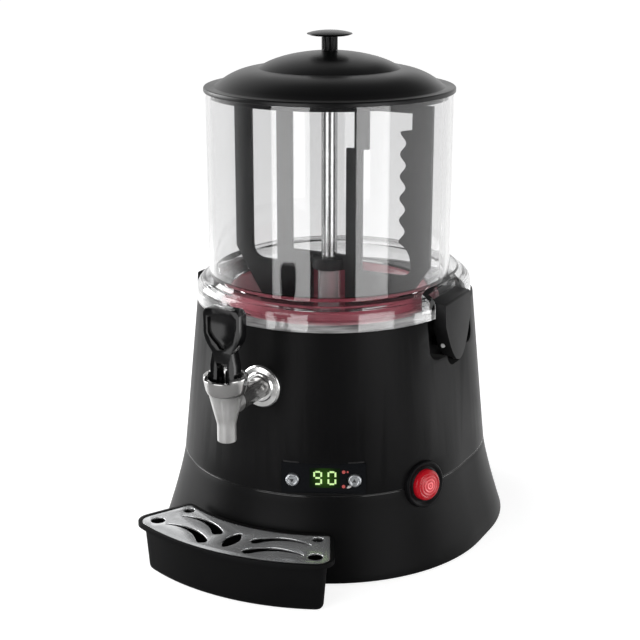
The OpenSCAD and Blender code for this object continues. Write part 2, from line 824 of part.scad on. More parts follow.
// The figures 9 and 0 in seven strokes: top, right pair, foot, left pair, middle
figure_h = 12.7;
figure_w = 7.8;
figure_step = 12.6;
stroke = 1.6;
nine = [1, 1, 1, 1, 0, 1, 1];
zero = [1, 1, 1, 1, 1, 1, 0];
module stroke_bar(lit, x, z, w, h)
    if (lit == 1) translate([x, 0, z]) slab(w, h, panel_face - 0.25, panel_face);

module figure(lit) {
    long = figure_w - 2 * stroke - 0.4;
    tall = figure_h / 2 - stroke - 0.5;
    side = (figure_w - stroke) / 2;
    stroke_bar(lit[0], 0, (figure_h - stroke) / 2, long, stroke);
    stroke_bar(lit[1], side, figure_h / 4, stroke, tall);
    stroke_bar(lit[2], side, -figure_h / 4, stroke, tall);
    stroke_bar(lit[3], 0, -(figure_h - stroke) / 2, long, stroke);
    stroke_bar(lit[4], -side, -figure_h / 4, stroke, tall);
    stroke_bar(lit[5], -side, figure_h / 4, stroke, tall);
    stroke_bar(lit[6], 0, 0, long, stroke);
}

module display_segments() color([0.7, 1, 0.4]) at_axis()
    on_cover(panel_angle, panel_z) {
        translate([display_x - figure_step / 2, 0, 0]) figure(nine);
        translate([display_x + figure_step / 2, 0, 0]) figure(zero);
    }

led_r = 1.5;
module at_leds()
    for (z = [5.7, -7.6]) translate([17.8, 0, z]) children();

module indicator_leds() color([0.9, 0.1, 0.1]) at_axis()
    on_cover(panel_angle, panel_z)
        at_leds() bar_y(led_r, panel_face - 0.4, panel_sag + 4);

board_y = panel_sag + 9;
module control_board() color(board_green) at_axis()
    on_cover(panel_angle, panel_z) {
        slab(window_w - 2, window_h - 1, board_y, board_y + 1.6);
        translate([display_x, 0, 0]) slab(display_w - 1, display_h - 1, panel_sag + snug, board_y + 0.5);
        for (x = [-button_x, button_x])
            translate([x, 0, button_drop]) slab(6, 6, panel_sag + 5, board_y + 0.5);
        for (x = [-1, 1], z = [-1, 1])
            translate([x * (window_w / 2 - 12), 0, z * (window_h / 2 - 2.6)])
                bar_y(1.2, panel_sag + snug, board_y + 0.5);
    }

module button_down() color(steel) at_axis() panel_button(-button_x);
module button_up() color(steel) at_axis() panel_button(button_x);
module panel_button(x)
    on_cover(panel_angle, panel_z)
        translate([x, panel_sag + 2.6, button_drop])
            rotate([90, 0, 0])
                rotate_extrude()
                    polygon([[0, 0], [button_r + 0.9, 0], [button_r + 0.9, 2.1], [button_r, 2.1],
                        [button_r, panel_t + 5], [button_r - 0.8, panel_t + 5.8],
                        [button_r - 2, panel_t + 5.8], [button_r - 2.4, panel_t + 5.3],
                        [0, panel_t + 5.6]]);

module switch_bezel() color(black) at_axis()
    on_cover(switch_angle, seam_z)
        rotate([90, 0, 0])
            difference() {
                translate([0, 0, -26])
                    rotate_extrude()
                        polygon([[0, 0], [bezel_bore + 2, 0], [bezel_bore + 2, 18], [bezel_r + 3, 18],
                            [bezel_r + 3, 20.2], [bezel_r, 20.2], [bezel_r, 28], [bezel_r - 1, 29],
                            [bezel_r - 2.4, 29], [bezel_bore + 2, 27.6], [bezel_bore, 28.4],
                            [bezel_bore, 3], [0, 3]]);
                for (x = [-6, 6]) translate([x, 0, -30]) cylinder(r = 1, h = 10);
            }

// The lit push button with raised rings on its domed face
module power_button() color([0.85, 0.05, 0.08]) at_axis()
    on_cover(switch_angle, seam_z)
        rotate([90, 0, 0])
            rotate_extrude()
                polygon(concat([[0, -14], [bezel_bore - loose, -14], [bezel_bore - loose, 5.6],
                    [bezel_bore - loose - 1, 6.8]], ring_face(), [[0, 9.4]]));

// The face steps up and down over each ring as it rises to the middle
function ring_face() = [for (i = [0:3], k = [0:1])
    let (r = bezel_bore - 3 - 2.8 * i - 1.4 * k)
    [r, 7.3 + 0.45 * i + (k == 0 ? 0.7 : 0.2)]];

// Tap

module tap_escutcheon() color(steel) at_axis()
    difference() {
        translate([0, -cover_r(tap_z), tap_z])
            rotate([90, 0, 0])
                rotate_extrude()
                    polygon([[shank_r + snug, -6], [19.3, -6], [19.3, 3.4], [18, 4.6], [13.6, 4.9],
                        [12.4, 6.6], [shank_r + snug, 6.6]]);
        cover_solid(0.03);
    }

collar_h = 16;
notch_z = collar_z + 13;
module tap_body() color(steel) at_axis()
    difference() {
        union() {
            translate([0, -tap_reach, 0])
                rotate_extrude()
                    polygon([[0, spout_low_z], [7.6, spout_low_z], [8.2, spout_low_z + 0.6],
                        [8.2, tap_z - 15], [14.8, collar_z - 1], [15.9, collar_z],
                        [17.2, collar_z + 3], [19, collar_z + 12],
                        [19, collar_z + collar_h - 1], [18, collar_z + collar_h], [0, collar_z + collar_h]]);
            translate([0, 0, tap_z]) bar_y(shank_r, -tap_reach, shank_in_y);
        }
        translate([0, -tap_reach, spout_low_z - eps]) cylinder(r = 5, h = 60);
        translate([0, -tap_reach, seat_z]) cylinder(r = 7, h = 60);
        translate([0, -tap_reach, collar_z]) cylinder(r = bonnet_r, h = 60);
        translate([0, -tap_reach, collar_z + bonnet_h]) cylinder(r = bonnet_r + 1.5, h = 60);
        translate([-fork_half - 0.7, -tap_reach - 40, notch_z]) cube([2 * fork_half + 1.4, 40, 40]);
        translate([0, 0, tap_z]) bar_y(5, 4 - tap_reach, shank_in_y + eps);
        translate([0, -tap_reach, pivot_z]) bar_x(pin_r + snug, -30, 30);
    }

// The gasket follows the inside of the cover round the shank
module tap_gasket() color(rubber) at_axis()
    difference() {
        translate([0, 0, tap_z]) bar_y(15.5, -cover_r(tap_z), -cover_r(tap_z) + 7);
        translate([0, 0, tap_z]) bar_y(shank_r + snug, -200, 0);
        rotate_extrude($fn = 4 * round_fn)
            polygon([[2 * seam_r, seam_z], [seam_r - wall - 0.03, seam_z],
                [cover_r(deck_z) - wall - 0.03, deck_z], [2 * seam_r, deck_z]]);
    }

module tap_nut() color(steel) at_axis()
    difference() {
        translate([0, -cover_r(tap_z) + 15, tap_z])
            rotate([90, 0, 0]) cylinder(r = 16, h = 8, $fn = 6);
        translate([0, 0, tap_z]) bar_y(shank_r + snug, -200, 0);
    }

bonnet_r = 14;
bonnet_h = 3.2;
module tap_bonnet() color(dark) at_axis()
    translate([0, -tap_reach, collar_z])
        difference() {
            cylinder(r = bonnet_r - snug, h = bonnet_h);
            translate([0, 0, -eps]) cylinder(r = stem_r + running, h = 10);
        }

module tap_pins() color(steel) at_axis()
    both_sides() translate([0, -tap_reach, pivot_z]) bar_x(pin_r, fork_slot + 0.2, 19.3);

stem_top_z = pivot_z + 9;
module tap_stem() color(steel) at_axis()
    translate([0, -tap_reach, 0]) {
        translate([0, 0, seat_z + 4]) cylinder(r = stem_r, h = stem_top_z - seat_z - 4);
        translate([0, 0, stem_top_z - 2]) cylinder(r = stem_r + 0.6, h = 2);
    }

module tap_plug() color(rubber) at_axis()
    translate([0, -tap_reach, seat_z + 0.1])
        difference() {
            rotate_extrude() polygon([[0, 0], [5.8, 0], [6.4, 0.6], [6.4, 6], [4, 8], [0, 8]]);
            translate([0, 0, 3.9]) cylinder(r = stem_r + snug, h = 10);
        }

// Outlet pipe from the bowl floor to the shank of the tap
module outlet_pipe() color(steel) at_axis()
    difference() {
        union() {
            translate([0, outlet_y, tap_z - 8]) cylinder(r = 8, h = under_z - tap_z + 8);
            translate([0, outlet_y, under_z - 3]) cylinder(r = 10, h = 3);
            translate([0, 0, tap_z]) bar_y(8, shank_in_y + snug, outlet_y);
        }
        translate([0, outlet_y, tap_z - 5]) cylinder(r = 6, h = 60);
        translate([0, 0, tap_z]) bar_y(6, shank_in_y - eps, outlet_y);
    }

// Lever: broad at the top, narrow at the waist, with a raised rim round a hollow front
lever_t = 12;
fork_half = 11.5;
fork_slot = 5;
waist_half = 9.2;
head_half = 17.3;
lever_top_z = pivot_z + lever_h;
waist_z = pivot_z + 0.4 * lever_h;
function lever_half(t) = waist_half + (head_half - waist_half) * sin(90 * min(1, 2 * t));
function lever_side(inset, low_z) = [for (i = [0:10])
    let (t = i / 10) [lever_half(t) - inset, low_z + (lever_top_z - 4 - inset - low_z) * t]];
module lever_outline() {
    right = concat([[fork_half, pivot_z], [fork_half, pivot_z + 14]], lever_side(0, waist_z),
        [[head_half - 2.5, lever_top_z - 0.6], [head_half * 0.5, lever_top_z]]);
    polygon(concat(right, [for (i = [len(right) - 1:-1:0]) [-right[i][0], right[i][1]]]));
}
module lever_hollow() {
    right = concat([[2, waist_z + 3]], lever_side(4.2, waist_z + 7), [[head_half * 0.4, lever_top_z - 5.6]]);
    polygon(concat(right, [for (i = [len(right) - 1:-1:0]) [-right[i][0], right[i][1]]]));
}

module tap_handle() color(black) at_axis()
    translate([0, -tap_reach, 0])
        difference() {
            union() {
                translate([0, lever_t / 2, 0]) rotate([90, 0, 0]) linear_extrude(lever_t) lever_outline();
                translate([0, 0, pivot_z]) bar_x(7, -fork_half, fork_half);
            }
            translate([0, -lever_t / 2 + 4, 0]) rotate([90, 0, 0]) linear_extrude(10) lever_hollow();
            translate([0, 0, pivot_z + 3]) slab(2 * fork_slot, 26, -20, 20);
            translate([0, 0, pivot_z]) bar_x(pin_r + running, -30, 30);
        }

// Drip tray

tray_wall = 2.5;
tray_foot_r = 5;
rim_w = 3.2;
corner_in_r = 6;
corner_out_r = 15;
mid_r = tray_back_r + tray_depth / 2;
grid_z = tray_h - 2;

// Outline of the tray, drawn in from the edge of its lip
function tray_line(inset) = sector(tray_back_r + inset, tray_front_r - inset,
    tray_half - asin(inset / mid_r), max(corner_in_r - inset, 2), max(corner_out_r - inset, 4));

// How far the leaning wall stands in at a height, and the levels of its rounded foot
function wall_inset(z) = tray_lip + tray_draft * (1 - z / tray_h);
function foot_levels() = [for (i = [0:4])
    let (a = 90 * i / 4, z = tray_foot_r * (1 - cos(a))) [z, wall_inset(z) + tray_foot_r * (1 - sin(a))]];

// A solid through tray outlines at rising levels, each given as a height and an inset
module lofted(levels) {
    count = len(tray_line(0));
    top = len(levels) - 1;
    points = [for (level = levels) each [for (p = tray_line(level[1])) [p[0], p[1], level[0]]]];
    sides = [for (k = [0:top - 1], i = [0:count - 1])
        let (a = k * count + i, b = k * count + (i + 1) % count)
        each [[a, a + count, b + count], [a, b + count, b]]];
    polyhedron(points, concat(
        [[for (i = [0:count - 1]) i]], sides, [[for (i = [count - 1:-1:0]) top * count + i]]));
}

module drip_tray() color(black) at_axis()
    difference() {
        union() {
            lofted(concat(foot_levels(), [[tray_h - lip_h / 2, wall_inset(tray_h - lip_h / 2)]]));
            translate([0, 0, tray_h - lip_h]) linear_extrude(lip_h) polygon(tray_line(0));
        }
        lofted([[tray_wall, wall_inset(tray_wall) + tray_wall + 2],
            [tray_wall + 2, wall_inset(tray_wall) + tray_wall], [tray_h + eps, tray_lip + tray_wall]]);
        translate([0, 0, grid_z]) linear_extrude(tray_h) polygon(tray_line(rim_w));
    }

// A curved slot that is broad and round near the middle and runs out to a point
slot_r = 43.5;
slot_half = 5.5;
slot_steps = 20;
function slot_width(t) = slot_half * (1 - 0.82 * t) * sqrt(min(1, (t + 0.03) / 0.1));
function slot_side(c, t, side) =
    let (a = 147 - 74 * t, r = slot_r + side * slot_width(t)) [c[0] + r * cos(a), c[1] + r * sin(a)];
function slot_points(c) = concat(
    [for (i = [0:slot_steps]) slot_side(c, i / slot_steps, 1)],
    [for (i = [slot_steps:-1:0]) slot_side(c, i / slot_steps, -1)]);

module tray_grid() color(steel) at_axis() {
    slot_in = [53.3, -(mid_r + 20.7)];
    slot_out = slot_in + [3.5, -20.5];
    lens_half = 15;
    lens_bulge = 12.5;
    lens_tip = 1.2;
    translate([0, 0, grid_z])
        linear_extrude(1.6)
            difference() {
                polygon(tray_line(rim_w + loose));
                for (side = [0, 1]) mirror([side, 0]) {
                    polygon(slot_points(slot_in));
                    polygon(slot_points(slot_out));
                    translate(front_point(mid_r - 20.2, tray_half - 4.8)) circle(r = 5.2);
                    translate(front_point(mid_r + 13.5, tray_half - 4.8)) circle(r = 6.6);
                }
                translate([0, -mid_r - 1])
                    polygon(concat(bend([lens_tip, -lens_half], [lens_bulge, 0], [lens_tip, lens_half], 10),
                        bend([-lens_tip, lens_half], [-lens_bulge, 0], [-lens_tip, -lens_half], 10)));
            }
}

base_plate();
rubber_feet();
base_skirt();
base_screws();
power_inlet();
body_cover();
heating_bowl();
heater_ring();
temperature_probe();
bearing_tower();
tower_nut();
gear_motor();
motor_stand();
motor_screws();
outlet_pipe();
control_panel();
display_window();
display_segments();
indicator_leds();
control_board();
button_down();
button_up();
switch_bezel();
power_button();
tank_seal();
tank();
lid_shell();
lid_knob();
lid_screw();
motor_output();
shaft_coupling();
drive_shaft();
stirring_paddle();
paddle_screw();
tap_escutcheon();
tap_body();
tap_gasket();
tap_nut();
tap_bonnet();
tap_pins();
tap_stem();
tap_plug();
tap_handle();
latch_right();
latch_pin_right();
latch_left();
latch_pin_left();
drip_tray();
tray_grid();
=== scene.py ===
"""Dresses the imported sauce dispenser: a finish for every part, softened edges, studio and camera."""
import json
import math

import bpy
from mathutils import Matrix, Vector


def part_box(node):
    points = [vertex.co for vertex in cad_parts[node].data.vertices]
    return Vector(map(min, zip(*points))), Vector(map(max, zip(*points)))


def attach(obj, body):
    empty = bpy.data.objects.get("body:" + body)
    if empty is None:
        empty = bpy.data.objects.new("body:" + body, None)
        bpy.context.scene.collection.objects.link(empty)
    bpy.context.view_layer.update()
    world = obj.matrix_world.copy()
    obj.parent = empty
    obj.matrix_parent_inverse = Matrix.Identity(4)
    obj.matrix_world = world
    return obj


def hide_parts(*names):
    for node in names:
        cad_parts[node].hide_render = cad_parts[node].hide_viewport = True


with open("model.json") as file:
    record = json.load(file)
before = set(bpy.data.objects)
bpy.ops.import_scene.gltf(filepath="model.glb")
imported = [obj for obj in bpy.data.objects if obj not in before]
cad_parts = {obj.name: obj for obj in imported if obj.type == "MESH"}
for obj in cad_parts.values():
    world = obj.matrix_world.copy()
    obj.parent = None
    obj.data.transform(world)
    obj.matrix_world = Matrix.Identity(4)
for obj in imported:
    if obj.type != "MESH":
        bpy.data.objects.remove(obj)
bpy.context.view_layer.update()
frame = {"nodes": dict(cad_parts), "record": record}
nodes = frame["nodes"]

shaft_low, shaft_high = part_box("drive_shaft")
AXIS_Y = (shaft_low.y + shaft_high.y) / 2


# Node helpers

def link(tree, source, target):
    tree.links.new(source, target)


def feed(tree, value, target):
    """Sets a socket to a plain number, or links it to the socket that the value comes from."""
    if isinstance(value, float):
        target.default_value = value
    else:
        link(tree, value, target)


def add_node(tree, kind, place, **settings):
    node = tree.nodes.new(kind)
    node.location = place
    for name, value in settings.items():
        setattr(node, name, value)
    return node


def new_group(name, inputs, outputs):
    """An empty shader group with float inputs and float outputs."""
    group = bpy.data.node_groups.new(name, "ShaderNodeTree")
    for socket, default in inputs.items():
        made = group.interface.new_socket(name=socket, in_out="INPUT", socket_type="NodeSocketFloat")
        made.default_value = default
    for socket in outputs:
        group.interface.new_socket(name=socket, in_out="OUTPUT", socket_type="NodeSocketFloat")
    enter = add_node(group, "NodeGroupInput", (-900, 0))
    leave = add_node(group, "NodeGroupOutput", (700, 0))
    return group, enter, leave


def object_place(tree, place):
    """Where each point of the part lies, in the shared frame."""
    return add_node(tree, "ShaderNodeTexCoord", place).outputs["Object"]


def split(tree, vector, place):
    """The three parts of a vector."""
    parts = add_node(tree, "ShaderNodeSeparateXYZ", place)
    link(tree, vector, parts.inputs["Vector"])
    return parts.outputs["X"], parts.outputs["Y"], parts.outputs["Z"]


def squeezed(tree, where, scale, place):
    """The place on the part, pressed together along its axes, so that a pattern is drawn out."""
    node = add_node(tree, "ShaderNodeMapping", place)
    node.inputs["Scale"].default_value = scale
    link(tree, where, node.inputs["Vector"])
    return node.outputs["Vector"]


def clouds(tree, where, scale, detail, place, distortion=0.0):
    """A soft noise over the part."""
    node = add_node(tree, "ShaderNodeTexNoise", place)
    link(tree, where, node.inputs["Vector"])
    feed(tree, scale, node.inputs["Scale"])
    node.inputs["Detail"].default_value = detail
    node.inputs["Distortion"].default_value = distortion
    return node.outputs["Fac"]


def work_out(tree, operation, first, second, place):
    """The result of a sum on two values, either of which may be a plain number."""
    node = add_node(tree, "ShaderNodeMath", place, operation=operation)
    feed(tree, first, node.inputs[0])
    feed(tree, second, node.inputs[1])
    return node.outputs["Value"]


def is_near(tree, value, middle, reach, place):
    """One where a value lies within a reach of a middle, and zero elsewhere."""
    node = add_node(tree, "ShaderNodeMath", place, operation="COMPARE")
    link(tree, value, node.inputs[0])
    node.inputs[1].default_value = middle
    node.inputs[2].default_value = reach
    return node.outputs["Value"]


def length_of(tree, vector, place):
    node = add_node(tree, "ShaderNodeVectorMath", place, operation="LENGTH")
    link(tree, vector, node.inputs[0])
    return node.outputs["Value"]


def spread_value(tree, source, low, high, place, from_low=0.3, from_high=0.7):
    """Maps a value onto a new range, and by default stretches the middle of a noise over it."""
    stretch = add_node(tree, "ShaderNodeMapRange", place)
    stretch.inputs["From Min"].default_value = from_low
    stretch.inputs["From Max"].default_value = from_high
    stretch.inputs["To Min"].default_value = low
    stretch.inputs["To Max"].default_value = high
    link(tree, source, stretch.inputs["Value"])
    return stretch.outputs["Result"]


def mixed_colour(tree, amount, first, second, place):
    """A colour that goes from one to another by an amount that changes over the part."""
    colours = add_node(tree, "ShaderNodeMix", place, data_type="RGBA")
    colours.inputs["A"].default_value = (*first, 1.0)
    colours.inputs["B"].default_value = (*second, 1.0)
    link(tree, amount, colours.inputs["Factor"])
    return colours.outputs["Result"]


def near_point(tree, point, reach, place):
    """The distance from a point, and a value that falls from one there to zero at a reach from it."""
    across, up = place
    away = add_node(tree, "ShaderNodeVectorMath", (across - 200, up), operation="DISTANCE")
    away.inputs[1].default_value = point
    link(tree, object_place(tree, (across - 400, up)), away.inputs[0])
    return away.outputs["Value"], spread_value(tree, away.outputs["Value"], 1.0, 0.0, place, 0.0, reach)


def shader_of(material):
    return material.node_tree.nodes["Principled BSDF"]


# Shared effects

def moulded_skin_group():
    """Fine spark-eroded grain with faint flow marks and the haze of wiping."""
    group, enter, leave = new_group("moulded skin", {"Grain": 900.0, "Haze": 14.0}, ["Height", "Haze"])
    where = object_place(group, (-900, -250))
    grain = clouds(group, where, enter.outputs["Grain"], 3.0, (-500, 200))
    haze = clouds(group, where, enter.outputs["Haze"], 5.0, (-500, -150), distortion=0.6)
    link(group, grain, leave.inputs["Height"])
    link(group, spread_value(group, haze, 0.0, 1.0, (100, -150)), leave.inputs["Haze"])
    return group


def drawn_lines_group():
    """Close parallel lines left by turning or brushing, across the part's height."""
    group, enter, leave = new_group("drawn lines", {"Lines": 700.0, "Haze": 30.0}, ["Height", "Haze"])
    where = object_place(group, (-900, -250))
    drawn_out = squeezed(group, where, (0.02, 0.02, 1.0), (-700, 100))
    lines = clouds(group, drawn_out, enter.outputs["Lines"], 4.0, (-450, 200))
    haze = clouds(group, where, enter.outputs["Haze"], 4.0, (-450, -150))
    link(group, lines, leave.inputs["Height"])
    link(group, spread_value(group, haze, 0.0, 1.0, (100, -150)), leave.inputs["Haze"])
    return group


def cast_skin_group():
    """The soft pebbled skin of a tumbled casting, with darker patches at random."""
    group, enter, leave = new_group("cast skin", {"Pebble": 420.0, "Haze": 60.0}, ["Height", "Haze"])
    where = object_place(group, (-900, -250))
    pebble = add_node(group, "ShaderNodeTexVoronoi", (-500, 200), feature="SMOOTH_F1")
    link(group, where, pebble.inputs["Vector"])
    link(group, enter.outputs["Pebble"], pebble.inputs["Scale"])
    haze = clouds(group, where, enter.outputs["Haze"], 6.0, (-500, -150))
    link(group, pebble.outputs["Distance"], leave.inputs["Height"])
    link(group, spread_value(group, haze, 0.0, 1.0, (100, -150)), leave.inputs["Haze"])
    return group


moulded_skin = moulded_skin_group()
drawn_lines = drawn_lines_group()
cast_skin = cast_skin_group()


# Finishes

SKIN_DEPTH = 0.0002
COAT_ROUGHNESS = 0.12
SHEEN_ROUGHNESS = 0.4


def blank_finish(name, skin):
    """A material with a plain shader and a skin group beside it."""
    material = bpy.data.materials.new(name)
    material.use_nodes = True
    tree = material.node_tree
    tree.nodes.clear()
    shader = add_node(tree, "ShaderNodeBsdfPrincipled", (300, 0))
    output = add_node(tree, "ShaderNodeOutputMaterial", (700, 0))
    link(tree, shader.outputs["BSDF"], output.inputs["Surface"])
    effect = add_node(tree, "ShaderNodeGroup", (-600, 0))
    effect.node_tree = skin
    return material, shader, effect


def lay_skin(tree, shader, effect, rough, bump):
    """Lets the skin's haze change the roughness and its relief the normal."""
    roughness = spread_value(tree, effect.outputs["Haze"], *rough, (-150, 0), 0.0, 1.0)
    link(tree, roughness, shader.inputs["Roughness"])
    relief = add_node(tree, "ShaderNodeBump", (-150, -250))
    relief.inputs["Strength"].default_value = bump
    relief.inputs["Distance"].default_value = SKIN_DEPTH
    link(tree, effect.outputs["Height"], relief.inputs["Height"])
    link(tree, relief.outputs["Normal"], shader.inputs["Normal"])


def surface_finish(name, skin, dark, light, rough, bump=0.1, metal=0.0, coat=0.0, gloss=0.5, sheen=0.0):
    """A finish whose colour and roughness drift with the haze of a skin group, over that skin's relief."""
    material, shader, effect = blank_finish(name, skin)
    tree = material.node_tree
    colour = mixed_colour(tree, effect.outputs["Haze"], dark, light, (-150, 250))
    link(tree, colour, shader.inputs["Base Color"])
    lay_skin(tree, shader, effect, rough, bump)
    shader.inputs["Metallic"].default_value = metal
    shader.inputs["Specular IOR Level"].default_value = gloss
    shader.inputs["Coat Weight"].default_value = coat
    shader.inputs["Coat Roughness"].default_value = COAT_ROUGHNESS
    shader.inputs["Sheen Weight"].default_value = sheen
    shader.inputs["Sheen Roughness"].default_value = SHEEN_ROUGHNESS
    return material


def lit_finish(name, dark, light, strength, rough, gloss=0.5):
    """The body of a lamp or of lit plastic, whose glow is set once its place is known."""
    material = surface_finish(name, moulded_skin, dark, light, rough, bump=0.03, gloss=gloss)
    shader_of(material).inputs["Emission Strength"].default_value = strength
    return material


FOOT_R = 0.1246
FOOT_DRAWN_OUT = 0.024
FOOT_BAND = 0.0095
FOOT_FACE = (FOOT_R - 0.0012, FOOT_R - 0.0006)
FOOT_STREAKS = 320.0
# Colour of the painted glow on the tank's foot: emission, though the tank is no lamp.
FOOT_PAINTED_GLOW = (0.27, 0.27, 0.27)
UNLIT = (0.0, 0.0, 0.0)


def outline_distance(tree, across, along, place):
    """How far out a point of the tank lies, from the middle of the foot's drawn-out outline."""
    left, up = place
    back = work_out(tree, "SUBTRACT", along, AXIS_Y, (left, up))
    straight = spread_value(tree, back, 0.0, FOOT_DRAWN_OUT, (left + 200, up - 100), 0.0, FOOT_DRAWN_OUT)
    rounded = work_out(tree, "SUBTRACT", back, straight, (left + 400, up))
    level = add_node(tree, "ShaderNodeCombineXYZ", (left + 600, up))
    link(tree, across, level.inputs["X"])
    link(tree, rounded, level.inputs["Y"])
    return length_of(tree, level.outputs["Vector"], (left + 800, up))


def paint_foot_glow(tree, shader):
    """Paints a glow along the outer edge where the tank's foot stands on the deck: painted light, as emission
    on the clear wall, in place of light carried down inside it.
    """
    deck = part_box("tank")[0].z
    where = object_place(tree, (-1100, -600))
    across, along, height = split(tree, where, (-900, -600))
    low = spread_value(tree, height, 1.0, 0.0, (-650, -600), deck + 0.8 * FOOT_BAND, deck + FOOT_BAND)
    drawn_out = squeezed(tree, where, (0.12, 0.12, 1.0), (-900, -850))
    streaks = clouds(tree, drawn_out, FOOT_STREAKS, 3.0, (-650, -850))
    strength = spread_value(tree, streaks, 0.15, 1.0, (-400, -850))
    away = outline_distance(tree, across, along, (-1400, -1100))
    outer = spread_value(tree, away, 0.0, 1.0, (-400, -1100), *FOOT_FACE)
    band = work_out(tree, "MULTIPLY", low, outer, (-200, -900))
    amount = work_out(tree, "MULTIPLY", band, strength, (-200, -700))
    # Painted light: the clear foot glows by emission where there is no lamp.
    link(tree, mixed_colour(tree, amount, UNLIT, FOOT_PAINTED_GLOW, (0, -600)), shader.inputs["Emission Color"])
    shader.inputs["Emission Strength"].default_value = 1.0


def clear_finish():
    """Clear moulded plastic: it bends light, keeps faint wiping marks, lets lamp light through and carries a
    painted glow along its foot.
    """
    material, shader, effect = blank_finish("clear tank plastic", moulded_skin)
    tree = material.node_tree
    shader.inputs["Base Color"].default_value = (0.82, 0.82, 0.822, 1.0)
    shader.inputs["Transmission Weight"].default_value = 1.0
    shader.inputs["IOR"].default_value = 1.49
    effect.inputs["Grain"].default_value = 60.0
    effect.inputs["Haze"].default_value = 9.0
    lay_skin(tree, shader, effect, (0.0, 0.012), 0.02)
    paint_foot_glow(tree, shader)
    path = add_node(tree, "ShaderNodeLightPath", (100, 400))
    passing = add_node(tree, "ShaderNodeBsdfTransparent", (300, 250))
    passing.inputs["Color"].default_value = (0.94, 0.95, 0.95, 1.0)
    choose = add_node(tree, "ShaderNodeMixShader", (520, 100))
    link(tree, path.outputs["Is Shadow Ray"], choose.inputs["Fac"])
    link(tree, shader.outputs["BSDF"], choose.inputs[1])
    link(tree, passing.outputs["BSDF"], choose.inputs[2])
    link(tree, choose.outputs["Shader"], tree.nodes["Material Output"].inputs["Surface"])
    return material


